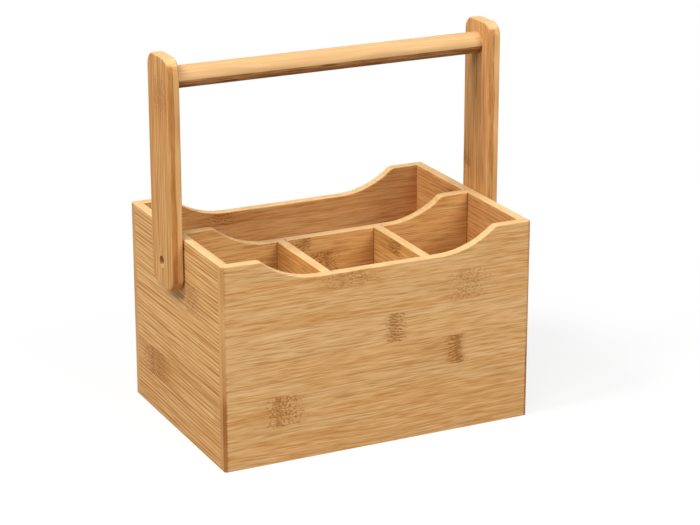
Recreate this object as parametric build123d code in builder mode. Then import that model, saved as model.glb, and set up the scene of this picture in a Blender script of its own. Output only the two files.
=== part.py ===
"""Bamboo cutlery caddy with a swing handle.

Four walls, a base and three dividers make an open box with one long compartment at the back and three
short ones at the front. A U-shaped handle of two uprights and a round bar swings on a screw in each side.

Millimetres. +X runs along the box, -Y is the front, +Z is up. The origin is the middle of the underside.
"""

from build123d import *
from math import asin, degrees, sqrt
import os

# ---- Box: overall sizes and stock ----------------------------------------------------------------------
box_length = 250.0
box_depth = 176.0
box_height = 156.0
panel_thickness = 7.5
divider_thickness = 7.5
base_thickness = 5.0
base_underside = 4.0  # height of the base's underside above the table
corner_radius = 2.0  # upright outer corners of the box
edge_easing = 1.2  # sanded arris along the rim and the dividers

# ---- Dipped rim of the front, the back and the centre divider ------------------------------------------
shoulder_length = 30.0  # level stretch at each end
dip_depth = 17.0
dip_radius = 70.0
shoulder_radius = 7.0

# ---- Joints of the box ---------------------------------------------------------------------------------
base_groove_depth = 3.0
base_float = 0.5  # room between the base's edge and the bottom of its groove
housing_depth = 2.5  # dividers are let into the pieces that they meet

# ---- Handle --------------------------------------------------------------------------------------------
pivot_below_rim = 20.5
pivot_to_bar = 137.5
upright_width = 39.0
upright_thickness = 9.5
upright_foot = 19.5  # pivot to the lower end
upright_head = 17.5  # bar centre to the upper end
upright_corner_radius = 10.5
upright_easing = 1.6
bar_diameter = 16.5
bar_socket_depth = 6.0
bar_socket_clearance = 0.05  # glue line round the bar, on the radius

# ---- Pivot hardware ------------------------------------------------------------------------------------
running_gap = 0.1  # end play on each face of an upright
washer_thickness = 0.5
washer_diameter = 12.0
washer_clearance = 0.15  # on the radius
shank_diameter = 4.0
shank_clearance = 0.08  # on the radius
counterbore_diameter = 9.0
counterbore_depth = 6.5
head_diameter = 8.0
head_height = 2.4
head_dome = 0.8  # part of the head's height that is domed
drive_width = 0.9
drive_span = 4.4
drive_depth = 1.5
thread_diameter = 3.6
thread_length = 22.0
thread_point = 4.0
pilot_clearance = 0.05  # on the radius
pilot_overrun = 1.0  # pilot hole past the screw's point

# ---- Places worked out from the sizes above ------------------------------------------------------------
inner_length = box_length - 2 * panel_thickness
inner_depth = box_depth - 2 * panel_thickness
base_top = base_underside + base_thickness
dip_floor = box_height - dip_depth
pivot_height = box_height - pivot_below_rim
bar_height = pivot_height + pivot_to_bar

side_face = box_length / 2
inner_side_face = inner_length / 2
inner_front_face = inner_depth / 2

# The front bay is divided into three equal compartments.
compartment_length = (inner_length - 2 * divider_thickness) / 3
cross_divider_x = (compartment_length + divider_thickness) / 2

upright_inner_face = side_face + washer_thickness + running_gap
upright_outer_face = upright_inner_face + upright_thickness
counterbore_floor = upright_outer_face - counterbore_depth
head_underside = counterbore_floor + running_gap
head_top = head_underside + head_height
bar_end = upright_inner_face + bar_socket_depth

os.makedirs("parts", exist_ok=True)


def save(piece, name):
    """Label a finished piece and write its STEP file."""
    piece.label = name
    export_step(piece, f"parts/{name}.step")


# ---- The space above the rim line, cut from every piece that has the dip --------------------------------
dip_run = sqrt(dip_radius**2 - (dip_radius - dip_depth) ** 2)  # length of each arc along X
shoulder_end = side_face - shoulder_length
dip_flat_end = shoulder_end - dip_run
blank_height = box_height + dip_depth  # pieces start taller than the rim and are cut down to it
past_end = side_face + panel_thickness

with BuildSketch(Plane.XZ) as above_rim:
    with BuildLine():
        Line((dip_flat_end, dip_floor), (-dip_flat_end, dip_floor))
        RadiusArc((-dip_flat_end, dip_floor), (-shoulder_end, box_height), dip_radius)
        Polyline(
            (-shoulder_end, box_height),
            (-past_end, box_height),
            (-past_end, blank_height),
            (past_end, blank_height),
            (past_end, box_height),
            (shoulder_end, box_height),
        )
        RadiusArc((shoulder_end, box_height), (dip_flat_end, dip_floor), dip_radius)
    make_face()
    shoulders = above_rim.vertices().filter_by(
        lambda corner: abs(abs(corner.X) - shoulder_end) < edge_easing / 2
    )
    fillet(shoulders, shoulder_radius)


def rim_edges(piece):
    """The edges along a piece's dipped rim, without the short ones across its thickness."""
    high = piece.edges().filter_by_position(Axis.Z, dip_floor, box_height)
    along = high.filter_by(Axis.Z, reverse=True)
    return along.filter_by(
        lambda edge: abs(edge.tangent_at(0.5).Y) < 0.99 or edge.length > 2 * panel_thickness
    )


# ---- Walls: glued up, dipped and sanded as one ring, which is then cut at the joints ---------------------
with BuildPart() as wall_ring:
    with BuildSketch():
        RectangleRounded(box_length, box_depth, corner_radius)
        Rectangle(inner_length, inner_depth, mode=Mode.SUBTRACT)
    extrude(amount=blank_height)
    extrude(above_rim.sketch, amount=box_depth, both=True, mode=Mode.SUBTRACT)
    fillet(rim_edges(wall_ring), edge_easing)

    # Groove for the base, round all four walls.
    with BuildSketch(Plane.XY.offset(base_underside)):
        Rectangle(inner_length + 2 * base_groove_depth, inner_depth + 2 * base_groove_depth)
    extrude(amount=base_thickness, mode=Mode.SUBTRACT)

    # Housings for the centre divider in the sides, and for the cross dividers in the front.
    with BuildSketch(Plane.XY.offset(base_top)):
        Rectangle(inner_length + 2 * housing_depth, divider_thickness)
        with Locations((-cross_divider_x, -inner_front_face), (cross_divider_x, -inner_front_face)):
            Rectangle(divider_thickness, 2 * housing_depth)
    extrude(amount=box_height, mode=Mode.SUBTRACT)

    # Pilot holes for the pivot screws.
    with BuildSketch(Plane.YZ):
        with Locations((0, pivot_height)):
            Circle(thread_diameter / 2 + pilot_clearance)
    extrude(amount=box_length, both=True, mode=Mode.SUBTRACT)

front_joint = Plane.XZ.offset(inner_front_face)
back_joint = Plane.XZ.offset(-inner_front_face)

with BuildPart() as front_panel:
    add(wall_ring.part)
    split(bisect_by=front_joint, keep=Keep.TOP)
save(front_panel.part, "front_panel")

with BuildPart() as back_panel:
    add(wall_ring.part)
    split(bisect_by=back_joint, keep=Keep.BOTTOM)
save(back_panel.part, "back_panel")

with BuildPart() as left_side_panel:
    add(wall_ring.part)
    split(bisect_by=front_joint, keep=Keep.BOTTOM)
    split(bisect_by=back_joint, keep=Keep.TOP)
    split(bisect_by=Plane.YZ, keep=Keep.BOTTOM)
save(left_side_panel.part, "left_side_panel")

with BuildPart() as right_side_panel:
    add(wall_ring.part)
    split(bisect_by=front_joint, keep=Keep.BOTTOM)
    split(bisect_by=back_joint, keep=Keep.TOP)
    split(bisect_by=Plane.YZ, keep=Keep.TOP)
save(right_side_panel.part, "right_side_panel")

# ---- Base: floats in the groove ------------------------------------------------------------------------
base_edge = base_groove_depth - base_float

with BuildPart() as base_panel:
    with BuildSketch(Plane.XY.offset(base_underside)):
        Rectangle(inner_length + 2 * base_edge, inner_depth + 2 * base_edge)
    extrude(amount=base_thickness)
save(base_panel.part, "base_panel")

# ---- Dividers ------------------------------------------------------------------------------------------
with BuildPart() as centre_divider:
    with BuildSketch(Plane.XY.offset(base_top)):
        Rectangle(inner_length + 2 * housing_depth, divider_thickness)
    extrude(amount=blank_height - base_top)
    extrude(above_rim.sketch, amount=box_depth, both=True, mode=Mode.SUBTRACT)
    fillet(rim_edges(centre_divider), edge_easing)

    # Housings for the cross dividers in its front face.
    with BuildSketch(Plane.XY.offset(base_top)):
        with Locations((-cross_divider_x, -divider_thickness / 2), (cross_divider_x, -divider_thickness / 2)):
            Rectangle(divider_thickness, 2 * housing_depth)
    extrude(amount=box_height, mode=Mode.SUBTRACT)

    # Pilot hole for a pivot screw in each end.
    pilot_end = side_face - thread_length - pilot_overrun
    for end_plane in (Plane.YZ.offset(pilot_end), Plane.YZ.offset(-pilot_end - box_length)):
        with BuildSketch(end_plane):
            with Locations((0, pivot_height)):
                Circle(thread_diameter / 2 + pilot_clearance)
        extrude(amount=box_length, mode=Mode.SUBTRACT)
save(centre_divider.part, "centre_divider")


def cross_divider(x):
    """A short divider at x, from the front panel's housing to the centre divider's."""
    front_end = -inner_front_face - housing_depth
    back_end = -divider_thickness / 2 + housing_depth
    with BuildPart() as divider:
        with BuildSketch(Plane.XY.offset(base_top)):
            with Locations((x, (front_end + back_end) / 2)):
                Rectangle(divider_thickness, back_end - front_end)
        extrude(amount=dip_floor - base_top)
        fillet(divider.faces().sort_by(Axis.Z)[-1].edges().filter_by(Axis.Y), edge_easing)
    return divider.part


save(cross_divider(-cross_divider_x), "left_cross_divider")
save(cross_divider(cross_divider_x), "right_cross_divider")

# ---- Handle: two uprights and a bar --------------------------------------------------------------------
with BuildPart() as right_handle_upright:
    with BuildSketch(Plane.YZ.offset(upright_inner_face)):
        upright_bottom = pivot_height - upright_foot
        upright_top = bar_height + upright_head
        with Locations((0, (upright_bottom + upright_top) / 2)):
            RectangleRounded(upright_width, upright_top - upright_bottom, upright_corner_radius)
    extrude(amount=upright_thickness)
    broad_faces = right_handle_upright.faces().filter_by(Axis.X)
    fillet(broad_faces.edges(), upright_easing)

    with BuildSketch(Plane.YZ.offset(upright_inner_face)):
        with Locations((0, bar_height)):
            Circle(bar_diameter / 2 + bar_socket_clearance)
    extrude(amount=bar_socket_depth, mode=Mode.SUBTRACT)

    with BuildSketch(Plane.YZ.offset(upright_inner_face)):
        with Locations((0, pivot_height)):
            Circle(shank_diameter / 2 + shank_clearance)
    extrude(amount=upright_thickness, mode=Mode.SUBTRACT)

    with BuildSketch(Plane.YZ.offset(counterbore_floor)):
        with Locations((0, pivot_height)):
            Circle(counterbore_diameter / 2)
    extrude(amount=counterbore_depth, mode=Mode.SUBTRACT)
save(right_handle_upright.part, "right_handle_upright")

with BuildPart() as left_handle_upright:
    mirror(right_handle_upright.part, about=Plane.YZ)
save(left_handle_upright.part, "left_handle_upright")

with BuildPart() as handle_bar:
    with BuildSketch(Plane.YZ.offset(-bar_end)):
        with Locations((0, bar_height)):
            Circle(bar_diameter / 2)
    extrude(amount=2 * bar_end)
save(handle_bar.part, "handle_bar")

# ---- Pivot screws: the head is sunk in the upright, the thread runs through the side into the divider ----
dome_radius = ((head_diameter / 2) ** 2 + head_dome**2) / (2 * head_dome)

with BuildPart() as right_pivot_screw:
    with BuildSketch(Plane.XZ):
        with BuildLine():
            Polyline(
                (head_top, pivot_height),
                (side_face - thread_length, pivot_height),
                (side_face - thread_length + thread_point, pivot_height + thread_diameter / 2),
                (side_face, pivot_height + thread_diameter / 2),
                (side_face, pivot_height + shank_diameter / 2),
                (head_underside, pivot_height + shank_diameter / 2),
                (head_underside, pivot_height + head_diameter / 2),
                (head_top - head_dome, pivot_height + head_diameter / 2),
            )
            RadiusArc(
                (head_top - head_dome, pivot_height + head_diameter / 2),
                (head_top, pivot_height),
                dome_radius,
            )
        make_face()
    revolve(axis=Axis((0, 0, pivot_height), (1, 0, 0)))

    # Cross-shaped drive recess.
    with BuildSketch(Plane.YZ.offset(head_top - drive_depth)):
        with Locations((0, pivot_height)):
            Rectangle(drive_width, drive_span)
            Rectangle(drive_span, drive_width)
    extrude(amount=2 * drive_depth, mode=Mode.SUBTRACT)
save(right_pivot_screw.part, "right_pivot_screw")

with BuildPart() as left_pivot_screw:
    mirror(right_pivot_screw.part, about=Plane.YZ)
save(left_pivot_screw.part, "left_pivot_screw")

# ---- Spacer washers between the sides and the uprights ---------------------------------------------------
with BuildPart() as right_spacer_washer:
    with BuildSketch(Plane.YZ.offset(side_face)):
        with Locations((0, pivot_height)):
            Circle(washer_diameter / 2)
            Circle(shank_diameter / 2 + washer_clearance, mode=Mode.SUBTRACT)
    extrude(amount=washer_thickness)
save(right_spacer_washer.part, "right_spacer_washer")

with BuildPart() as left_spacer_washer:
    mirror(right_spacer_washer.part, about=Plane.YZ)
save(left_spacer_washer.part, "left_spacer_washer")

# ---- How far the handle swings before its bar meets the box ----------------------------------------------
swing_limit = 180 - degrees(asin((box_depth / 2 + bar_diameter / 2) / pivot_to_bar))
print(f"handle bar meets the front or back face at {swing_limit:.2f} degrees")
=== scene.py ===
"""Looks of a bamboo cutlery caddy: laminated boards, a swing handle and its pivot hardware.

Metres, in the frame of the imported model: +X runs along the box, -Y is the front and +Z is up, with the
origin at the middle of the underside. Every piece keeps its own shape and gets a procedural finish in its
own coordinates, so grain, strips and growth rings stay with the piece as it moves.
"""

from __future__ import annotations

import logging
import math
from dataclasses import dataclass, replace
from enum import Enum

import bpy
from mathutils import Matrix, Vector

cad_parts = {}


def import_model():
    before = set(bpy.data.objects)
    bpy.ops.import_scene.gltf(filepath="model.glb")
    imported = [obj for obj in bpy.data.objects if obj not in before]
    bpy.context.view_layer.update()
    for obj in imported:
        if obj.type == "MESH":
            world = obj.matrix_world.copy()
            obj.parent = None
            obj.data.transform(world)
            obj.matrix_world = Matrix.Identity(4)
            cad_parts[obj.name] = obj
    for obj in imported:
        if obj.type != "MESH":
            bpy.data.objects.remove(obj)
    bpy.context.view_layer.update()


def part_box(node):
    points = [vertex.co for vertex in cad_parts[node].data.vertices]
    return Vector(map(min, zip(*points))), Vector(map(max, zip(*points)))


LOG = logging.getLogger("caddy")
MM = 0.001

Colour = tuple[float, float, float]
Socket = bpy.types.NodeSocket
Span = tuple[float, float]  # from where to where something rises or falls, or a length and a width
Tones = tuple[float, ...]
Value = float | Socket

WHITE: Colour = (1.0, 1.0, 1.0)

# Parts of a face's normal, from where it doesn't count as such a face to where it fully does.
END_TURN: Span = (0.15, 0.4)
SIDEWAYS_TURN: Span = (0.45, 0.15)
EDGE_TURN: Span = (0.9, 0.55)
UPWARD_TURN: Span = (0.35, 0.8)


class Grain(Enum):
    """Which way a board's fibres run, as the axes along, across and through the board."""

    LENGTHWISE = ("X", "Z", "Y")
    SIDEWAYS = ("Y", "Z", "X")
    UPRIGHT = ("Z", "Y", "X")
    LYING = ("X", "Y", "Z")


class Mix(Enum):
    """How one colour is laid over another."""

    COVER = "MIX"
    MULTIPLY = "MULTIPLY"


class Sheet:
    """Adds nodes to one node tree and hands back their output sockets."""

    def __init__(self, tree: bpy.types.NodeTree) -> None:
        """Take the tree to draw in."""
        self.tree = tree

    def node(self, kind: str, **settings: object) -> bpy.types.Node:
        """Add one node.

        Args:
            kind: The node's type name.
            settings: Properties to set on it.

        Returns:
            The new node.
        """
        made = self.tree.nodes.new(kind)
        for name, value in settings.items():
            setattr(made, name, value)
        return made

    def feed(self, socket: Socket, value: Value | Colour) -> None:
        """Link a socket, or set its constant.

        Args:
            socket: The input to feed.
            value: A node's output, a number or a colour.
        """
        if isinstance(value, bpy.types.NodeSocket):
            self.tree.links.new(value, socket)
        else:
            socket.default_value = (*value, 1.0) if isinstance(value, tuple) else value

    def sum(self, operation: str, *values: Value, clamp: bool = False) -> Socket:
        """Work out one arithmetic step.

        Args:
            operation: Blender's name of the step, such as MULTIPLY.
            values: Its operands.
            clamp: Whether the result is held between 0 and 1.

        Returns:
            The result.
        """
        made = self.node("ShaderNodeMath", operation=operation, use_clamp=clamp)
        for socket, value in zip(made.inputs, values):
            self.feed(socket, value)
        return made.outputs[0]

    def times(self, value: Value, factor: Value, clamp: bool = False) -> Socket:
        """Multiply two numbers."""
        return self.sum("MULTIPLY", value, factor, clamp=clamp)

    def times_plus(self, value: Value, factor: Value, addend: Value, clamp: bool = False) -> Socket:
        """Multiply two numbers and add a third."""
        return self.sum("MULTIPLY_ADD", value, factor, addend, clamp=clamp)

    def size(self, value: Value) -> Socket:
        """Take a number without its sign."""
        return self.sum("ABSOLUTE", value)

    def apart(self, value: Value, place: float) -> Socket:
        """Measure how far a value is from a place."""
        return self.size(self.sum("SUBTRACT", value, place))

    def step(self, value: Value, low: float, high: float) -> Socket:
        """Rise or fall smoothly between two values.

        Args:
            value: The value to look at.
            low: Where the result is 0.
            high: Where the result is 1, which may be below low.

        Returns:
            A number from 0 to 1.
        """
        made = self.node("ShaderNodeMapRange", interpolation_type="SMOOTHSTEP")
        self.feed(made.inputs["Value"], value)
        if low < high:
            limits = (low, high, 0.0, 1.0)
        else:
            limits = (high, low, 1.0, 0.0)
        for name, limit in zip(("From Min", "From Max", "To Min", "To Max"), limits):
            made.inputs[name].default_value = limit
        return made.outputs["Result"]

    def vector(self, x: Value, y: Value, z: Value) -> Socket:
        """Join three numbers into a vector.

        Args:
            x: The first number.
            y: The second number.
            z: The third number.

        Returns:
            The vector.
        """
        made = self.node("ShaderNodeCombineXYZ")
        for socket, value in zip(made.inputs, (x, y, z)):
            self.feed(socket, value)
        return made.outputs[0]

    def blend(
        self, share: Value, low: Socket | Colour, high: Socket | Colour, mix: Mix = Mix.COVER
    ) -> Socket:
        """Lay a colour over another.

        Args:
            share: How much of the upper colour there is, from 0 to 1.
            low: The lower colour.
            high: The upper colour.
            mix: How it is laid on.

        Returns:
            The mixed colour.
        """
        made = self.node("ShaderNodeMix", data_type="RGBA", blend_type=mix.value)
        self.feed(made.inputs["Factor"], share)
        for name, colour in (("A", low), ("B", high)):
            socket = next(s for s in made.inputs if s.name == name and s.type == "RGBA")
            self.feed(socket, colour)
        return next(s for s in made.outputs if s.type == "RGBA")

    def ladder(self, rung: Value, tones: Tones, smooth: bool = False) -> Socket:
        """Look up the tone of a rung.

        Args:
            rung: The place on the ladder, which goes up by 1 a rung from 0.
            tones: The tone of each rung.
            smooth: Whether tones run into each other.

        Returns:
            The tone.
        """
        made = self.node("ShaderNodeValToRGB")
        made.color_ramp.interpolation = "EASE" if smooth else "CONSTANT"
        elements = made.color_ramp.elements
        while len(elements) < len(tones):
            elements.new(0.5)
        while len(elements) > len(tones):
            elements.remove(elements[-1])
        for index, tone in enumerate(tones):
            elements[index].position = (index + 0.5 * smooth) / len(tones)
            elements[index].color = (tone, tone, tone, 1.0)
        self.feed(made.inputs[0], self.sum("DIVIDE", rung, float(len(tones)), clamp=True))
        return made.outputs[0]

    def noise(self, x: Value, y: Value, z: Value, detail: float = 2.0, roughness: float = 0.5) -> Socket:
        """Sample smooth noise whose spots are about 1 wide.

        Args:
            x: The place's first coordinate.
            y: Its second coordinate.
            z: Its third coordinate.
            detail: How many finer octaves there are.
            roughness: How strong each octave is beside the one before.

        Returns:
            Noise from 0 to 1, about 0.5 on average.
        """
        made = self.node("ShaderNodeTexNoise", noise_dimensions="3D")
        self.feed(made.inputs["Vector"], self.vector(x, y, z))
        self.feed(made.inputs["Scale"], 1.0)
        self.feed(made.inputs["Detail"], detail)
        self.feed(made.inputs["Roughness"], roughness)
        return made.outputs["Fac"]

    def spots(self, x: Socket, y: Socket, size: Span, seed: float, detail: float = 2.0) -> Socket:
        """Sample noise on a face, in spots of a length along x and a width along y."""
        return self.noise(self.times(x, 1 / size[0]), self.times(y, 1 / size[1]), seed, detail=detail)

    def grit(self, density: float) -> Socket:
        """Sample fine even noise in the piece's own coordinates.

        Args:
            density: How many spots it has to the metre.

        Returns:
            Noise from 0 to 1, about 0.5 on average.
        """
        made = self.node("ShaderNodeTexNoise")
        self.feed(made.inputs["Vector"], self.node("ShaderNodeTexCoord").outputs["Object"])
        self.feed(made.inputs["Scale"], density)
        return made.outputs["Fac"]

    def chance(self, number: Value, seed: float) -> Socket:
        """Draw one steady random number for a whole number.

        Args:
            number: The whole number.
            seed: Sets this draw apart from others.

        Returns:
            A number from 0 to 1.
        """
        made = self.node("ShaderNodeTexWhiteNoise", noise_dimensions="2D")
        self.feed(made.inputs["Vector"], self.vector(number, seed, 0.0))
        return made.outputs["Value"]


def new_material(name: str) -> tuple[bpy.types.Material, Sheet, bpy.types.Node]:
    """Start a material.

    Args:
        name: The material's name.

    Returns:
        The material, a sheet on its node tree, and the shader in it.
    """
    material = bpy.data.materials.new(name)
    material.use_nodes = True
    return material, Sheet(material.node_tree), material.node_tree.nodes["Principled BSDF"]


@dataclass(frozen=True)
class Spot:
    """Where a shaded point lies on its board, in metres, and how its face is turned, from 0 to 1."""

    along: Socket
    across: Socket
    through: Socket
    upward: Socket
    end_on: Socket
    edge_on: Socket

    @classmethod
    def find(cls, sheet: Sheet, grain: Grain) -> Spot:
        """Read the spot from the piece's own coordinates.

        Args:
            sheet: The node tree.
            grain: Which way the fibres run.

        Returns:
            The spot.
        """
        source = sheet.node("ShaderNodeTexCoord")
        place = sheet.node("ShaderNodeSeparateXYZ")
        facing = sheet.node("ShaderNodeSeparateXYZ")
        sheet.feed(place.inputs[0], source.outputs["Object"])
        sheet.feed(facing.inputs[0], source.outputs["Normal"])
        fibre_axis, _, face_axis = grain.value
        to_end = sheet.step(sheet.size(facing.outputs[fibre_axis]), *END_TURN)
        sideways = sheet.step(facing.outputs["Z"], *SIDEWAYS_TURN)
        return cls(
            *(place.outputs[axis] for axis in grain.value),
            upward=sheet.step(facing.outputs["Z"], *UPWARD_TURN),
            end_on=sheet.times(to_end, sideways),
            edge_on=sheet.step(sheet.size(facing.outputs[face_axis]), *EDGE_TURN),
        )


@dataclass(frozen=True)
class Knuckle:
    """A growth ring of the cane, which shows as a mottled patch across one strip of a board."""

    along: float
    across: float
    height: float = 24 * MM
    length: float = 18 * MM
    strength: float = 1.0
    flare: float = 1.0  # which way along the board its fibres flare out, 1 or -1
    tail: float = 0.5  # how strong the streaks that flare out are
    core: float = 0.6  # how dark the column at its middle is
    swirl: float = 0.8  # how far its dashes twist
    speckle: float = 0.35  # how much of it is specks in place of dashes
    dash_pitch: float = 2.3 * MM
    dash_slant: float = 70.0  # how many dashes they climb to the metre
    wobble: float = 6 * MM  # how far its middle wanders along the board
    wobble_height: float = 4.5 * MM
    soft_edge: float = 1.0 * MM
    twist_size: Span = (7 * MM, 5 * MM)
    speck_size: Span = (1.7 * MM, 1.5 * MM)
    speck_gain: float = 5.0  # how sharply specks stand out
    speck_level: float = 0.52  # the noise above which there is a speck
    gap_size: Span = (2.4 * MM, 1.3 * MM)
    near_reach: float = 1.6  # how far its stain goes, in half lengths
    patch_reach: Span = (1.7, 1.1)  # how far its dashes go, in half lengths
    crowd_near: float = 0.42  # how much denser dashes are at its middle
    crowd_gaps: float = 0.9  # how much their gaps count
    crowd_least: float = -0.12
    patch_crowd: Span = (0.42, 0.62)
    dash_wave: Span = (0.0, 0.7)
    bare_wave: Span = (-0.3, -0.9)
    bare_share: float = 0.4
    column_shift: float = -0.3  # where the column stands, in half lengths
    column_reach: Span = (4.5 * MM, 1.0 * MM)
    column_gaps: Span = (0.25, 0.6)
    tail_start: Span = (-3 * MM, 5 * MM)
    tail_end: Span = (60 * MM, 2 * MM)
    tail_fibres: Span = (0.56, 0.38)
    tail_least: float = 0.4  # how strong the tail is between its streaks
    stain_share: float = 0.5

    @property
    def seed(self) -> float:
        """Set this ring's noise apart by its place."""
        return self.along * 130 + self.across * 70

    def offset(self, sheet: Sheet, spot: Spot) -> Socket:
        """Measure how far along the flare a spot is from the ring's wandering middle.

        Args:
            sheet: The node tree.
            spot: The place on the board.

        Returns:
            The offset in metres.
        """
        height = sheet.times(spot.across, 1 / self.wobble_height)
        wander = sheet.noise(self.seed, height, self.seed, detail=1.0)
        offset = sheet.sum("SUBTRACT", spot.along, self.along - self.wobble / 2)
        return sheet.times(sheet.times_plus(wander, -self.wobble, offset), self.flare)

    def ripple(self, sheet: Sheet, spot: Spot, offset: Socket) -> Socket:
        """Ripple across the dashes, broken up by specks.

        Args:
            sheet: The node tree.
            spot: The place on the board.
            offset: How far along the flare the spot is from the ring's middle.

        Returns:
            A wave about 0, high in a dash and low beside it.
        """
        twist = sheet.spots(offset, spot.across, self.twist_size, self.seed, detail=0.0)
        slant = sheet.times(offset, self.dash_slant)
        phase = sheet.times_plus(spot.across, 1 / self.dash_pitch, slant)
        phase = sheet.times_plus(twist, 2 * self.swirl, phase)
        wave = sheet.sum("SINE", sheet.times(phase, math.tau))
        specks = sheet.spots(offset, spot.across, self.speck_size, self.seed + 5, detail=0.0)
        gain = self.speck_gain * self.speckle
        specks = sheet.times_plus(specks, gain, -self.speck_level * gain)
        return sheet.times_plus(wave, 1 - self.speckle, specks)

    def marks(self, sheet: Sheet, spot: Spot, fibre: Socket) -> tuple[Socket, Socket, Socket]:
        """Draw the ring as a stack of short dashes.

        Args:
            sheet: The node tree.
            spot: The place on the board.
            fibre: The board's fine fibres.

        Returns:
            The dark dashes, the stain around them with the streaks that flare out of it, and the pale
            dashes, each from 0 to 1.
        """
        half, reach = self.height / 2, self.length / 2
        offset = self.offset(sheet, spot)
        aside = sheet.size(offset)
        strip = sheet.step(sheet.apart(spot.across, self.across), half, half - self.soft_edge)
        near = sheet.step(aside, reach * self.near_reach, 0.0)
        gaps = sheet.spots(offset, spot.across, self.gap_size, self.seed + 3, detail=1.0)
        wave = self.ripple(sheet, spot, offset)

        crowd = sheet.times_plus(gaps, self.crowd_gaps, self.crowd_least)
        crowd = sheet.times_plus(near, self.crowd_near, crowd)
        around = sheet.step(aside, *(reach * share for share in self.patch_reach))
        patch = sheet.times(sheet.times(sheet.step(crowd, *self.patch_crowd), around), strip)
        dash = sheet.times(sheet.step(wave, *self.dash_wave), patch)
        bare = sheet.times(sheet.step(wave, *self.bare_wave), patch)
        bare = sheet.times(bare, self.bare_share * self.strength)

        column = sheet.step(sheet.apart(offset, reach * self.column_shift), *self.column_reach)
        column = sheet.times(sheet.times(column, strip), sheet.step(gaps, *self.column_gaps))
        mark = sheet.times(sheet.sum("MAXIMUM", dash, sheet.times(column, self.core)), self.strength)

        fade = sheet.times(sheet.step(offset, *self.tail_start), sheet.step(offset, *self.tail_end))
        streaks = sheet.step(fibre, *self.tail_fibres)
        streaks = sheet.times_plus(streaks, 1 - self.tail_least, self.tail_least)
        tail = sheet.times(sheet.times(streaks, fade), self.tail)
        darkening = sheet.times_plus(near, self.stain_share * self.strength, tail, clamp=True)
        return mark, sheet.times(darkening, strip), bare


@dataclass(frozen=True)
class Plies:
    """Two layers glued through a piece's thickness, which meet at a wavy plane."""

    seam: float
    below: Colour
    above: Colour
    below_share: float = 0.75
    above_share: float = 0.4
    wave: float = 1.6 * MM
    wave_length: float = 45 * MM
    softness: float = 0.15 * MM
    blotch_size: Span = (16 * MM, MM / 0.9)
    blotch_span: Span = (0.35, 0.65)
    edges_only: bool = True  # whether the broad faces keep the board's own colour

    def colour(self, sheet: Sheet, colour: Socket, spot: Spot, fibre: Socket) -> Socket:
        """Tint the layers on each side of the seam.

        Args:
            sheet: The node tree.
            colour: The colour so far.
            spot: The place on the board.
            fibre: Fine fibres, which ruffle the seam.

        Returns:
            The tinted colour.
        """
        wander = sheet.noise(sheet.times(spot.along, 1 / self.wave_length), self.seam * 900, 0.0)
        depth = sheet.times_plus(wander, 2 * self.wave, spot.through)
        depth = sheet.times_plus(fibre, self.wave * 0.5, depth)
        middle = self.seam + self.wave * 1.25
        upper = sheet.step(depth, middle - self.softness, middle + self.softness)

        blotch = sheet.spots(spot.along, spot.through, self.blotch_size, self.seam)
        blotch = sheet.step(blotch, *self.blotch_span)
        patchy = sheet.times_plus(blotch, self.below_share * 0.6, self.below_share * 0.5)
        patchy = sheet.times(patchy, sheet.times_plus(fibre, 0.8, 0.5), clamp=True)
        lower = sheet.blend(patchy, colour, self.below)
        higher = sheet.blend(self.above_share, colour, self.above)
        shown = spot.edge_on if self.edges_only else 1.0
        return sheet.blend(shown, colour, sheet.blend(upper, lower, higher))


@dataclass(frozen=True)
class Board:
    """One board or bar: how it is cut, laid and joined."""

    name: str  # its finish's name
    grain: Grain
    seed: float  # sets its figure apart
    knuckles: tuple[Knuckle, ...] = ()
    plies: Plies | None = None
    pale_and_top_lit_rim: bool = True  # whether faces that look up are paler: partly sanded edge grain, partly painted top light
    strip_tones: Tones = ()  # how pale each strip is, from the lowest up, 1 being palest, or none for any
    end_tones: Tones = (0.5,)  # how dark each strip's sawn end is, from the lowest up, 1 being darkest
    outer_face: float | None = None  # how far its outer face is from the middle of the box
    half_length: float | None = None  # how far its ends are from there, if they show at the box's corners
    joints: Tones = ()  # where along it another board is glued against it


@dataclass(frozen=True)
class Streaks:
    """One layer of streaks along the fibres, which darken and pale the board."""

    length: float
    pitch: float
    contrast: float
    seed: float  # sets the layer apart
    detail: float = 1.0
    roughness: float = 0.55
    dark: Span = (0.5, 0.3)
    pale: Span = (0.5, 0.7)
    pale_share: float = 0.8  # how strong pale streaks are beside dark ones
    depth: float = 7 * MM  # how far into the board a streak goes

    def draw(self, sheet: Sheet, spot: Spot, lane: Socket, drift: Socket, seed: float) -> Socket:
        """Draw the streaks.

        Args:
            sheet: The node tree.
            spot: The place on the board.
            lane: The place across the board, bent as its fibres are.
            drift: A shift along the board that sets each strip apart.
            seed: Sets the board apart.

        Returns:
            Smooth noise about 0.5.
        """
        return sheet.noise(
            sheet.times_plus(spot.along, 1 / self.length, drift),
            sheet.times(lane, 1 / self.pitch),
            sheet.times_plus(spot.through, 1 / self.depth, seed + self.seed),
            detail=self.detail,
            roughness=self.roughness,
        )

    def shade(self, sheet: Sheet, colour: Socket, streak: Socket, toast: Colour, pale: Colour) -> Socket:
        """Darken and pale a colour along the streaks.

        Args:
            sheet: The node tree.
            colour: The colour so far.
            streak: The streaks as drawn.
            toast: The dark tone.
            pale: The pale tone.

        Returns:
            The streaked colour.
        """
        darker = sheet.times(sheet.step(streak, *self.dark), self.contrast)
        paler = sheet.times(sheet.step(streak, *self.pale), self.contrast * self.pale_share)
        return sheet.blend(paler, sheet.blend(darker, colour, toast), pale)


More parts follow.
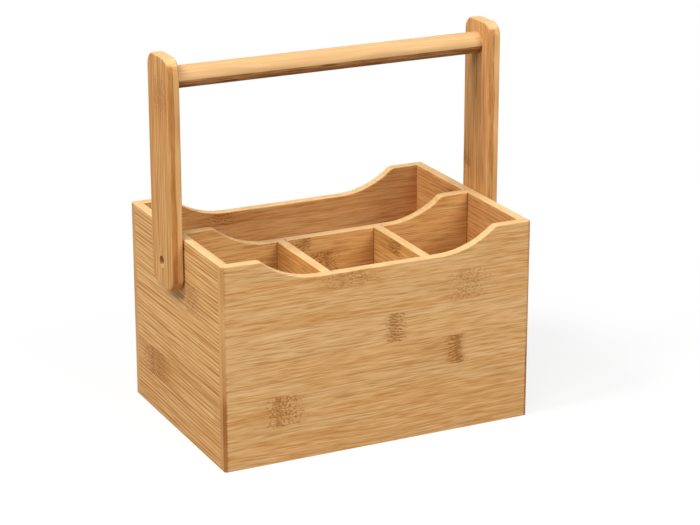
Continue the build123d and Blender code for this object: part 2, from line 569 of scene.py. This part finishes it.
CLOUD = Streaks(130 * MM, 5 * MM, 0.12, 13.0, dark=(0.5, 0.25), pale=(0.5, 0.75))
LINE = Streaks(90 * MM, 1.9 * MM, 0.32, 7.0, detail=1.5, dark=(0.45, 0.3), pale=(0.55, 0.72))
FIBRE = Streaks(18 * MM, 0.95 * MM, 0.62, 0.0)
FLUSH = Streaks(120 * MM, 15 * MM, 1.0, 21.0, dark=(0.3, 0.7))


@dataclass(frozen=True)
class Figure:
    """The figure of a board's bamboo at the shaded point."""

    rung: Socket  # the place across the board, counted in strips
    tone: Socket  # how pale the strip is
    lane: Socket  # the place across the board, bent as its fibres are
    cloud: Socket  # broad streaks
    line: Socket  # long lines
    fibre: Socket  # fine fibres
    flush: Socket  # shifts of hue


@dataclass(frozen=True)
class BambooFinish:
    """Lacquered laminated bamboo: strips side by side, fine fibres, streaks and knuckles."""

    honey: Colour = (0.62, 0.345, 0.132)
    pale: Colour = (0.755, 0.495, 0.248)
    toast: Colour = (0.42, 0.178, 0.044)
    knot: Colour = (0.26, 0.095, 0.021)
    # the colour of faces that look up: the paler sanded edge grain, with painted top light in it
    rim: Colour = (0.82, 0.55, 0.27)
    # painted shade: the darker, warmer colour of faces inside the box
    inside_painted_shade: Colour = (0.94, 0.79, 0.65)
    yellower: Colour = (1.0, 1.04, 1.08)
    redder: Colour = (1.0, 0.96, 0.92)
    strip_width: float = 25 * MM
    strip_start: float = 2 * MM
    strip_contrast: float = 0.35
    strip_pale: Span = (0.45, 1.0)
    strip_dark: Span = (0.55, 0.0)
    strip_dark_share: float = 0.7
    strip_joint: Span = (0.485, 0.497)  # from a strip's middle, in strips
    strip_joint_share: float = 0.4
    strip_shift: float = 9.0  # how far strips' streaks are set apart, in streaks
    bend: float = 2.5 * MM
    bend_size: Span = (110 * MM, 30 * MM)
    cloud: Streaks = CLOUD
    line: Streaks = LINE
    fibre: Streaks = FIBRE
    flush: Streaks = FLUSH
    comb_contrast: float = 0.10
    comb_pitch: float = 3.1 * MM
    comb_shift: float = 1.5  # how far long lines shift the comb, in its lines
    comb_dark: Span = (0.3, 0.8)
    comb_pale: Span = (0.1, -0.5)
    comb_pale_share: float = 0.5
    comb_patches: Span = (0.25, 0.65)
    mark_share: float = 0.8  # how dark a knuckle's dashes get
    glue_reach: Span = (0.7 * MM, 0.2 * MM)
    glue_share: float = 0.8
    inside_shade_from: Span = (4 * MM, 6 * MM)  # how deep below the outer face the painted shade inside the box begins
    rim_share: float = 0.85
    rim_streaks: float = 0.3
    rim_fibres: Span = (0.6, 0.35)
    end_share: float = 0.8
    vessel_pitch: float = 0.9 * MM
    vessel_share: float = 0.3
    vessels: Span = (0.5, 0.7)
    arris_reach: Span = (3.9 * MM, 2.4 * MM)
    arris_rag: float = 1.6 * MM
    arris_gain: float = 1.3
    arris_share: float = 0.85
    relief: float = 0.10
    relief_depth: float = 0.4 * MM
    fibre_height: float = 0.6  # this height and the next two are shares of the relief
    line_height: float = 0.8
    mark_height: float = -0.5
    roughness: float = 0.66
    fibre_gloss: float = 0.2
    refraction: float = 1.45
    specular: float = 0.07

    def build(self, board: Board) -> bpy.types.Material:
        """Make the finish of one board.

        Args:
            board: The board.

        Returns:
            The material.
        """
        material, sheet, shader = new_material(board.name)
        spot = Spot.find(sheet, board.grain)
        figure = self.figure(sheet, spot, board)
        colour = self.ground(sheet, figure)
        if board.plies is not None:
            colour = board.plies.colour(sheet, colour, spot, figure.fibre)
        height = sheet.times(figure.line, self.line_height)
        height = sheet.times_plus(figure.fibre, self.fibre_height, height)
        for knuckle in board.knuckles:
            mark, darkening, bare = knuckle.marks(sheet, spot, figure.fibre)
            colour = sheet.blend(darkening, colour, self.toast)
            colour = sheet.blend(bare, colour, self.pale)
            colour = sheet.blend(sheet.times(mark, self.mark_share), colour, self.knot)
            height = sheet.times_plus(mark, self.mark_height, height)
        colour = self.inside(sheet, spot, board, colour)
        colour = self.edges(sheet, spot, board, figure, colour)

        sheet.feed(shader.inputs["Base Color"], colour)
        sheet.feed(shader.inputs["IOR"], self.refraction)
        sheet.feed(shader.inputs["Specular IOR Level"], self.specular)
        roughness = sheet.times_plus(figure.fibre, -self.fibre_gloss, self.roughness)
        sheet.feed(shader.inputs["Roughness"], roughness)
        bump = sheet.node("ShaderNodeBump")
        sheet.feed(bump.inputs["Strength"], self.relief)
        sheet.feed(bump.inputs["Distance"], self.relief_depth)
        sheet.feed(bump.inputs["Height"], height)
        sheet.feed(shader.inputs["Normal"], bump.outputs[0])
        return material

    def figure(self, sheet: Sheet, spot: Spot, board: Board) -> Figure:
        """Lay out the board's strips and streaks.

        Args:
            sheet: The node tree.
            spot: The place on the board.
            board: The board.

        Returns:
            Its figure at the spot.
        """
        rung = sheet.sum("DIVIDE", sheet.sum("SUBTRACT", spot.across, self.strip_start), self.strip_width)
        strip = sheet.sum("FLOOR", rung)
        if board.strip_tones:
            tone = sheet.ladder(rung, board.strip_tones)
        else:
            tone = sheet.chance(strip, board.seed + 0.37)
        drift = sheet.times(sheet.chance(strip, board.seed + 4.61), self.strip_shift)
        length, height = self.bend_size
        bend = sheet.noise(
            sheet.times_plus(spot.along, 1 / length, drift),
            sheet.times(spot.across, 1 / height),
            board.seed,
            detail=0.0,
        )
        lane = sheet.times_plus(bend, 2 * self.bend, spot.across)
        layers = (self.cloud, self.line, self.fibre, self.flush)
        streaks = (layer.draw(sheet, spot, lane, drift, board.seed) for layer in layers)
        return Figure(rung, tone, lane, *streaks)

    def ground(self, sheet: Sheet, figure: Figure) -> Socket:
        """Colour the strips, the streaks along them and the joints between them.

        Args:
            sheet: The node tree.
            figure: The board's figure.

        Returns:
            The colour.
        """
        paler = sheet.times(sheet.step(figure.tone, *self.strip_pale), self.strip_contrast)
        contrast = self.strip_contrast * self.strip_dark_share
        darker = sheet.times(sheet.step(figure.tone, *self.strip_dark), contrast)
        colour = sheet.blend(darker, sheet.blend(paler, self.honey, self.pale), self.toast)
        layers = ((self.cloud, figure.cloud), (self.fibre, figure.fibre), (self.line, figure.line))
        for layer, streak in layers:
            colour = layer.shade(sheet, colour, streak, self.toast, self.pale)
        hue = sheet.blend(sheet.step(figure.flush, *self.flush.dark), self.yellower, self.redder)
        colour = sheet.blend(self.flush.contrast, colour, hue, Mix.MULTIPLY)
        colour = self.comb(sheet, colour, figure)
        joint = sheet.step(sheet.apart(sheet.sum("FRACT", figure.rung), 0.5), *self.strip_joint)
        joint = sheet.times(joint, sheet.times(figure.tone, self.strip_joint_share))
        return sheet.blend(joint, colour, self.toast)

    def comb(self, sheet: Sheet, colour: Socket, figure: Figure) -> Socket:
        """Draw the even dark and pale lines of cane that is sawn across its wall.

        Args:
            sheet: The node tree.
            colour: The colour so far.
            figure: The board's figure.

        Returns:
            The lined colour.
        """
        shift = sheet.times(figure.line, self.comb_shift)
        phase = sheet.times_plus(figure.lane, 1 / self.comb_pitch, shift)
        wave = sheet.sum("SINE", sheet.times(phase, math.tau))
        strength = sheet.times(sheet.step(figure.cloud, *self.comb_patches), self.comb_contrast)
        dark = sheet.times(sheet.step(wave, *self.comb_dark), strength)
        pale = sheet.times(sheet.step(wave, *self.comb_pale), sheet.times(strength, self.comb_pale_share))
        return sheet.blend(pale, sheet.blend(dark, colour, self.toast), self.pale)

    def inside(self, sheet: Sheet, spot: Spot, board: Board, colour: Socket) -> Socket:
        """Paint shade on faces that look into the box, and draw the glue lines on them.

        Args:
            sheet: The node tree.
            spot: The place on the board.
            board: The board.
            colour: The colour so far.

        Returns:
            The toned colour.
        """
        inner: Value = 1.0
        if board.outer_face is not None:
            limits = (board.outer_face - depth for depth in self.inside_shade_from)
            inner = sheet.step(sheet.size(spot.through), *limits)
            # painted shade: faces inside the box are darkened and warmed
            colour = sheet.blend(inner, colour, self.inside_painted_shade, Mix.MULTIPLY)
        for place in board.joints:
            glue = sheet.step(sheet.apart(spot.along, place), *self.glue_reach)
            glue = sheet.times(glue, sheet.times(inner, self.glue_share))
            colour = sheet.blend(glue, colour, self.knot)
        return colour

    def edges(self, sheet: Sheet, spot: Spot, board: Board, figure: Figure, colour: Socket) -> Socket:
        """Colour the board's rim, ends and corners.

        Args:
            sheet: The node tree.
            spot: The place on the board.
            board: The board.
            figure: The board's figure.
            colour: The colour so far.

        Returns:
            The colour with the edges in it.
        """
        # painted top light: faces that look up are paler, partly because sanded edge grain is
        if board.pale_and_top_lit_rim:
            ruffle = sheet.times(sheet.step(figure.fibre, *self.rim_fibres), self.rim_streaks)
            rim = sheet.blend(ruffle, self.rim, self.honey)
            colour = sheet.blend(sheet.times(spot.upward, self.rim_share), colour, rim)
        dark = sheet.ladder(figure.rung, board.end_tones, smooth=True)
        colour = sheet.blend(spot.end_on, colour, self.end_grain(sheet, spot, board, dark))
        if board.outer_face is not None and board.half_length is not None:
            depth = sheet.sum("SUBTRACT", board.outer_face, sheet.size(spot.through))
            inset = sheet.sum("SUBTRACT", board.half_length, sheet.size(spot.along))
            corner = sheet.sum("MAXIMUM", depth, inset)
            colour = sheet.blend(self.arris(sheet, corner, figure.fibre, dark), colour, self.knot)
        return colour

    def arris(self, sheet: Sheet, corner: Socket, fibre: Socket, dark: Socket) -> Socket:
        """Find the rounded corner at a board's end, darkened by how dark the strip's sawn end is.

        Args:
            sheet: The node tree.
            corner: How far the spot is from the corner.
            fibre: Fine fibres, which make the edge ragged.
            dark: How dark the strip's sawn end is.

        Returns:
            How much the corner darkens, from 0 to 1.
        """
        ragged = sheet.times_plus(fibre, self.arris_rag, corner)
        darkening = sheet.times(sheet.times(dark, self.arris_gain, clamp=True), self.arris_share)
        return sheet.times(sheet.step(ragged, *self.arris_reach), darkening)

    def end_grain(self, sheet: Sheet, spot: Spot, board: Board, dark: Socket) -> Socket:
        """Colour sawn ends: tight vessel dots, each strip its own tone.

        Args:
            sheet: The node tree.
            spot: The place on the board.
            board: The board.
            dark: How dark the strip's sawn end is.

        Returns:
            The colour of the ends.
        """
        noise = sheet.spots(spot.across, spot.through, (self.vessel_pitch, self.vessel_pitch), board.seed)
        colour = sheet.blend(sheet.times(dark, self.end_share), self.honey, self.toast)
        dots = sheet.times(sheet.step(noise, *self.vessels), self.vessel_share)
        return sheet.blend(dots, colour, self.toast)


@dataclass(frozen=True)
class GritFinish:
    """Plain finish of a small part, with a fine mottle in its tone and gloss."""

    colour: Colour
    dull: Colour
    density: float  # how many spots it has to the metre
    roughness: Span
    mottle: Span | None = None  # where the dull tone begins and where it is full, or none for evenly
    metallic: float = 0.0
    milkiness: float = 0.0

    def build(self, name: str) -> bpy.types.Material:
        """Make the finish.

        Args:
            name: The material's name.

        Returns:
            The material.
        """
        material, sheet, shader = new_material(name)
        grit = sheet.grit(self.density)
        share = sheet.step(grit, *self.mottle) if self.mottle else grit
        least, most = self.roughness
        sheet.feed(shader.inputs["Base Color"], sheet.blend(share, self.colour, self.dull))
        sheet.feed(shader.inputs["Roughness"], sheet.times_plus(grit, most - least, least))
        sheet.feed(shader.inputs["Metallic"], self.metallic)
        sheet.feed(shader.inputs["Subsurface Weight"], self.milkiness)
        return material


def dress(node: str, material: bpy.types.Material) -> None:
    """Give a piece its finish and report it.

    Args:
        node: The piece's name.
        material: Its finish.
    """
    piece = bpy.data.objects[node]
    piece.data.materials.clear()
    piece.data.materials.append(material)
    LOG.info("%s is finished in %s", node, material.name)


PLAIN_BOARD = BambooFinish()
LONG_LINE = replace(LINE, length=170 * MM)
SIDE_BOARD = BambooFinish(
    honey=(0.62, 0.335, 0.118),
    pale=(0.76, 0.47, 0.205),
    strip_contrast=0.58,
    line=replace(LONG_LINE, contrast=0.75, pitch=1.6 * MM),
    fibre=replace(FIBRE, contrast=1.0, length=40 * MM, pitch=1.0 * MM),
    comb_contrast=1.0,
    bend=0.8 * MM,
    relief=0.25,
)
RIGHT_SIDE_BOARD = BambooFinish(
    honey=(0.70, 0.39, 0.15), line=LONG_LINE, comb_contrast=0.4, bend=0.8 * MM, relief=0.2
)
INNER_BOARD = BambooFinish(honey=(0.66, 0.325, 0.10), pale=(0.78, 0.47, 0.19))
CROSS_BOARD = BambooFinish(
    honey=(0.74, 0.345, 0.09),
    pale=(0.84, 0.48, 0.17),
    line=LONG_LINE,
    comb_contrast=0.45,
    bend=0.8 * MM,
    relief=0.22,
)
LEFT_UPRIGHT = BambooFinish(
    honey=(0.55, 0.27, 0.086),
    pale=(0.74, 0.43, 0.18),
    strip_width=60 * MM,
    strip_start=-30 * MM,
    strip_contrast=0.0,
    cloud=replace(CLOUD, contrast=0.35),
    line=replace(LINE, contrast=1.0, pitch=1.7 * MM),
    fibre=replace(FIBRE, contrast=1.0, length=45 * MM, pitch=1.1 * MM),
    comb_contrast=0.5,
    bend=1.0 * MM,
)
RIGHT_UPRIGHT = replace(
    LEFT_UPRIGHT,
    honey=(0.67, 0.33, 0.115),
    pale=(0.78, 0.46, 0.20),
    cloud=replace(CLOUD, contrast=0.3),
    line=replace(LINE, contrast=0.9, pitch=1.7 * MM),
    comb_contrast=0.4,
)

# near-black plating, made this dark to paint the shade deep in the pivot holes
DARK_ZINC_WITH_HOLE_SHADE = GritFinish(
    (0.065, 0.062, 0.057), (0.04, 0.037, 0.03), 900.0, (0.2, 0.5), mottle=(0.35, 0.7), metallic=1.0
)
NATURAL_NYLON = GritFinish((0.74, 0.72, 0.66), (0.66, 0.64, 0.57), 1400.0, (0.4, 0.6), milkiness=0.1)


@dataclass
class Box:
    """The open box: four walls, the base and three dividers."""

    board: BambooFinish = PLAIN_BOARD
    left_board: BambooFinish = SIDE_BOARD
    right_board: BambooFinish = RIGHT_SIDE_BOARD
    inner_board: BambooFinish = INNER_BOARD
    cross_board: BambooFinish = CROSS_BOARD
    front_face: float = 88 * MM  # how far the front and back faces are from the middle
    side_face: float = 125 * MM
    half_divider: float = 3.75 * MM
    cross_divider_faces: Span = (36.67 * MM, 44.17 * MM)
    inner_side_face: float = 117.5 * MM

    def dress_front(self) -> None:
        """Finish the front panel, with the growth rings that show on it."""
        rings = (
            Knuckle(13 * MM, 89.5 * MM, length=16 * MM, tail=0.1, core=0.5),
            Knuckle(63 * MM, 64.5 * MM, length=14 * MM, flare=-1.0, tail=0.7, core=0.9, speckle=0.4),
            Knuckle(-78 * MM, 39.5 * MM, length=28 * MM, strength=0.8, tail=0.1, core=0.8, speckle=0.8),
            Knuckle(-25 * MM, 134 * MM, 16 * MM, 42 * MM, strength=0.6, tail=0.2, speckle=0.6),
            Knuckle(74 * MM, 114.5 * MM, 24 * MM, 30 * MM, 0.45, -1.0, tail=0.1, core=0.2, speckle=0.9),
        )
        board = Board(
            "front bamboo", Grain.LENGTHWISE, 1.0, rings,
            strip_tones=(0.28, 0.34, 0.46, 0.72, 0.52, 0.52),
            end_tones=(0.65, 1.0, 0.35, 0.25, 0.1, 0.3),
            outer_face=self.front_face,
            half_length=self.side_face,
        )
        dress("front_panel", self.board.build(board))

    def dress_back(self) -> None:
        """Finish the back panel like the front, with rings of its own."""
        rings = (
            Knuckle(-53 * MM, 139.5 * MM, length=22 * MM, strength=0.7, core=0.4),
            Knuckle(40 * MM, 64.5 * MM, flare=-1.0),
            Knuckle(-20 * MM, 39.5 * MM),
        )
        board = Board(
            "back bamboo", Grain.LENGTHWISE, 2.0, rings,
            end_tones=(0.2, 0.1, 0.3, 0.5, 0.2, 0.4),
            outer_face=self.front_face,
            half_length=self.side_face,
        )
        dress("back_panel", self.board.build(board))

    def dress_sides(self) -> None:
        """Finish the two side panels, whose cane is sawn across its wall."""
        left_rings = (
            Knuckle(-29 * MM, 114.5 * MM, 24 * MM, 30 * MM, 0.8, -1.0, tail=0.2, core=0.4, speckle=0.5),
            Knuckle(44 * MM, 39.5 * MM, length=44 * MM, flare=-1.0, tail=0.9, core=0.7, speckle=0.2),
        )
        right_rings = (
            Knuckle(20 * MM, 139.5 * MM, length=16 * MM, strength=0.8),
            Knuckle(-36 * MM, 64.5 * MM, flare=-1.0),
        )
        left = Board(
            "left bamboo", Grain.SIDEWAYS, 3.0, left_rings,
            # the two lowest strips are darker: partly their own tone, partly painted shade low on the
            # side
            strip_tones=(0.1, 0.0, 0.5, 0.55, 0.6, 0.6),
            outer_face=self.side_face,
        )
        right = Board(
            "right bamboo", Grain.SIDEWAYS, 4.0, right_rings,
            strip_tones=(0.5, 0.55, 0.4, 0.6, 0.5, 0.75),
            outer_face=self.side_face,
            joints=(-self.half_divider, self.half_divider),
        )
        dress("left_side_panel", self.left_board.build(left))
        dress("right_side_panel", self.right_board.build(right))

    def dress_inside(self) -> None:
        """Finish the base and the dividers, with the centre divider's glue lines."""
        centre_rings = (
            Knuckle(-24 * MM, 139.5 * MM, flare=-1.0, speckle=0.5),
            Knuckle(-6 * MM, 114.5 * MM, length=24 * MM, flare=-1.0, speckle=0.6),
            Knuckle(70 * MM, 64.5 * MM),
        )
        cross_rings = (Knuckle(-40 * MM, 139.5 * MM, length=20 * MM, core=0.4),)
        base_rings = (Knuckle(-60 * MM, 30 * MM), Knuckle(50 * MM, -42 * MM))
        faces = (*self.cross_divider_faces, self.inner_side_face)
        joints = tuple(side * face for side in (-1, 1) for face in faces)
        centre = Board("centre bamboo", Grain.LENGTHWISE, 5.0, centre_rings, joints=joints)
        base = Board("base bamboo", Grain.LYING, 8.0, base_rings, pale_and_top_lit_rim=False)
        left = Board("left cross bamboo", Grain.SIDEWAYS, 6.0)
        right = Board("right cross bamboo", Grain.SIDEWAYS, 7.0, cross_rings)
        dress("centre_divider", self.inner_board.build(centre))
        dress("left_cross_divider", self.cross_board.build(left))
        dress("right_cross_divider", self.cross_board.build(right))
        dress("base_panel", self.inner_board.build(base))

    def dress(self) -> None:
        """Finish every piece of the box."""
        self.dress_front()
        self.dress_back()
        self.dress_sides()
        self.dress_inside()


@dataclass
class Handle:
    """The swing handle: two uprights of two plies each, and the bar."""

    left_board: BambooFinish = LEFT_UPRIGHT
    right_board: BambooFinish = RIGHT_UPRIGHT
    dark_ply: Colour = (0.36, 0.135, 0.032)
    light_ply: Colour = (0.72, 0.43, 0.175)
    # the lower ply: its own darker tone, made darker still as painted shade under the bar
    bar_dark_ply_and_shade: Colour = (0.20, 0.075, 0.025)
    bar_light: Colour = (0.78, 0.51, 0.255)
    bar_seam_below_middle: float = 1.4 * MM

    def dress_upright(self, side: str, finish: BambooFinish, ring: Knuckle, seed: float) -> None:
        """Finish one upright, whose plies meet at the middle of its thickness.

        Args:
            side: Which upright it is, left or right.
            finish: Its bamboo.
            ring: The growth ring on it.
            seed: Sets it apart.
        """
        node = f"{side}_handle_upright"
        low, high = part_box(node)
        plies = Plies((low.x + high.x) / 2, self.dark_ply, self.light_ply)
        board = Board(f"{node} bamboo", Grain.UPRIGHT, seed, (ring,), plies, end_tones=(0.0,))
        dress(node, finish.build(board))

    def dress_bar(self) -> None:
        """Finish the bar, whose plies meet a little below its middle; the darker lower ply also holds
        painted shade.
        """
        low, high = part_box("handle_bar")
        plies = Plies(
            (low.z + high.z) / 2 - self.bar_seam_below_middle,
            self.bar_dark_ply_and_shade,
            self.bar_light,
            below_share=0.95,
            above_share=0.6,
            wave=0.15 * MM,
            edges_only=False,
        )
        board = Board("bar bamboo", Grain.LYING, 12.0, plies=plies, pale_and_top_lit_rim=False)
        dress("handle_bar", self.left_board.build(board))

    def dress(self) -> None:
        """Finish both uprights and the bar."""
        left_ring = Knuckle(261 * MM, -5 * MM, length=30 * MM, strength=0.75, tail=0.2, core=0.2)
        right_ring = Knuckle(178 * MM, 13 * MM, height=12 * MM, length=12 * MM, strength=0.8, tail=0.3)
        self.dress_upright("left", self.left_board, left_ring, 9.0)
        self.dress_upright("right", self.right_board, right_ring, 10.0)
        self.dress_bar()


@dataclass
class Pivots:
    """Screws and washers that the handle turns on."""

    zinc: GritFinish = DARK_ZINC_WITH_HOLE_SHADE
    nylon: GritFinish = NATURAL_NYLON

    def dress(self) -> None:
        """Finish the hardware of both sides."""
        zinc = self.zinc.build("zinc plated screw")
        nylon = self.nylon.build("natural nylon")
        for side in ("left", "right"):
            dress(f"{side}_pivot_screw", zinc)
            dress(f"{side}_spacer_washer", nylon)


@dataclass(frozen=True)
class Lamp:
    """One square softbox, placed from the point that it is aimed at."""

    name: str
    place: tuple[float, float, float]
    size: float
    power: float  # in watts

    def hang(self, target: Vector) -> None:
        """Hang the lamp and aim it.

        Args:
            target: Where it points.
        """
        data = bpy.data.lights.new(self.name, "AREA")
        data.shape = "SQUARE"
        data.size = self.size
        data.energy = self.power
        lamp = bpy.data.objects.new(self.name, data)
        lamp.location = target + Vector(self.place)
        lamp.rotation_mode = "QUATERNION"
        lamp.rotation_quaternion = (-Vector(self.place)).to_track_quat("-Z", "Y")
        bpy.context.scene.collection.objects.link(lamp)
        LOG.info("lamp %s hangs at %s", self.name, tuple(round(c, 2) for c in lamp.location))


@dataclass
class Studio:
    """Plain white studio: camera, floor, soft lamps and a white surround."""

    azimuth: float = -26.077
    elevation: float = 18.677
    distance: float = 1.80388
    aim_right: float = 16.26 * MM
    aim_up: float = 108.79 * MM
    lens: float = 119.75
    sensor: float = 36.0
    lamps: tuple[Lamp, ...] = (
        Lamp("overhead softbox", (0.2, -0.3, 4.0), 1.8, 22.0),
        Lamp("left softbox", (-2.6, -0.1, 2.85), 1.2, 106.0),
        Lamp("corner softbox", (-2.0, -2.0, 2.8), 1.8, 66.0),
        Lamp("front softbox", (1.2, -3.2, 2.0), 1.8, 86.0),
    )
    lamp_target_height: float = 0.12
    ambient: float = 0.08
    floor_size: float = 6.0
    floor_tone: Colour = (0.45, 0.45, 0.45)  # what it gives back to the object
    floor_shown: Colour = (0.95, 0.95, 0.95)  # what the camera sees
    shadow_depth: float = 0.2  # how much of the floor's own shade the camera sees
    shadow_reach: Span = (0.5, 0.22)

    def place_camera(self) -> None:
        """Place the camera where the photograph was taken from."""
        azimuth, elevation = math.radians(self.azimuth), math.radians(self.elevation)
        level = math.cos(elevation)
        back = Vector((math.sin(azimuth) * level, -math.cos(azimuth) * level, math.sin(elevation)))
        right = Vector((math.cos(azimuth), math.sin(azimuth), 0.0))
        up = back.cross(right)
        data = bpy.data.cameras.new("camera")
        data.lens = self.lens
        data.sensor_width = self.sensor
        camera = bpy.data.objects.new("camera", data)
        bpy.context.scene.collection.objects.link(camera)
        turn = Matrix((right, up, back)).transposed()
        place = back * self.distance + right * self.aim_right + up * self.aim_up
        camera.matrix_world = Matrix.Translation(place) @ turn.to_4x4()
        bpy.context.scene.camera = camera

    def hang_lamps(self) -> None:
        """Hang softboxes overhead, to the left, at the near corner and in front."""
        for lamp in self.lamps:
            lamp.hang(Vector((0.0, 0.0, self.lamp_target_height)))

    def light_surround(self) -> None:
        """Show plain white all round, and light the object more gently than that."""
        world = bpy.data.worlds.new("surround")
        bpy.context.scene.world = world
        world.use_nodes = True
        world.node_tree.nodes.clear()
        sheet = Sheet(world.node_tree)
        shaders = []
        for strength in (self.ambient, 1.0):
            background = sheet.node("ShaderNodeBackground")
            sheet.feed(background.inputs["Color"], WHITE)
            sheet.feed(background.inputs["Strength"], strength)
            shaders.append(background.outputs[0])
        self.choose(sheet, "ShaderNodeOutputWorld", self.seen(sheet), *shaders)

    @staticmethod
    def choose(sheet: Sheet, output: str, share: Socket, unseen: Socket, shown: Socket) -> None:
        """Mix two shaders into a tree's output.

        Args:
            sheet: The node tree.
            output: The output node's type name.
            share: How much of the second shader there is.
            unseen: The first shader.
            shown: The second shader.
        """
        mixer = sheet.node("ShaderNodeMixShader")
        for socket, value in zip(mixer.inputs, (share, unseen, shown)):
            sheet.feed(socket, value)
        sheet.feed(sheet.node(output).inputs[0], mixer.outputs[0])

    @staticmethod
    def seen(sheet: Sheet) -> Socket:
        """Tell rays that are seen, directly, in gloss or through glass, from those that light.

        Args:
            sheet: The node tree.

        Returns:
            1 for a ray that is seen, 0 for one that lights.
        """
        path = sheet.node("ShaderNodeLightPath")
        direct = sheet.sum("MAXIMUM", path.outputs["Is Camera Ray"], path.outputs["Is Glossy Ray"])
        return sheet.sum("MAXIMUM", direct, path.outputs["Is Transmission Ray"])

    def floor_finish(self) -> bpy.types.Material:
        """Make the floor's finish, white in the picture with a faint shadow near the object.

        Returns:
            The material.
        """
        material, sheet, _ = new_material("pale floor")
        material.node_tree.nodes.clear()
        seen = self.seen(sheet)
        matt = sheet.node("ShaderNodeBsdfDiffuse")
        sheet.feed(matt.inputs["Color"], sheet.blend(seen, self.floor_tone, self.floor_shown))
        white = sheet.node("ShaderNodeEmission")
        sheet.feed(white.inputs["Strength"], 1.0)
        distance = sheet.node("ShaderNodeVectorMath", operation="LENGTH")
        sheet.feed(distance.inputs[0], sheet.node("ShaderNodeTexCoord").outputs["Object"])
        near = sheet.step(distance.outputs["Value"], *self.shadow_reach)
        share = sheet.sum("SUBTRACT", 1.0, sheet.times(near, self.shadow_depth))
        share = sheet.times(seen, share)
        self.choose(sheet, "ShaderNodeOutputMaterial", share, matt.outputs[0], white.outputs[0])
        return material

    def lay_floor(self) -> None:
        """Lay the pale floor as a part of the stage."""
        half = self.floor_size / 2
        mesh = bpy.data.meshes.new("floor")
        corners = [(-half, -half, 0.0), (half, -half, 0.0), (half, half, 0.0), (-half, half, 0.0)]
        mesh.from_pydata(corners, [], [(0, 1, 2, 3)])
        floor = bpy.data.objects.new("floor", mesh)
        bpy.context.scene.collection.objects.link(floor)
        mesh.materials.append(self.floor_finish())

    def build(self) -> None:
        """Set up the whole studio."""
        bpy.context.scene.view_settings.view_transform = "Standard"
        self.place_camera()
        self.lay_floor()
        self.hang_lamps()
        self.light_surround()


def main() -> None:
    """Build the studio and dress every piece in turn."""
    logging.basicConfig(level=logging.INFO, format="%(message)s")
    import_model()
    Studio().build()
    Box().dress()
    Handle().dress()
    Pivots().dress()


if __name__ == "__main__":
    main()
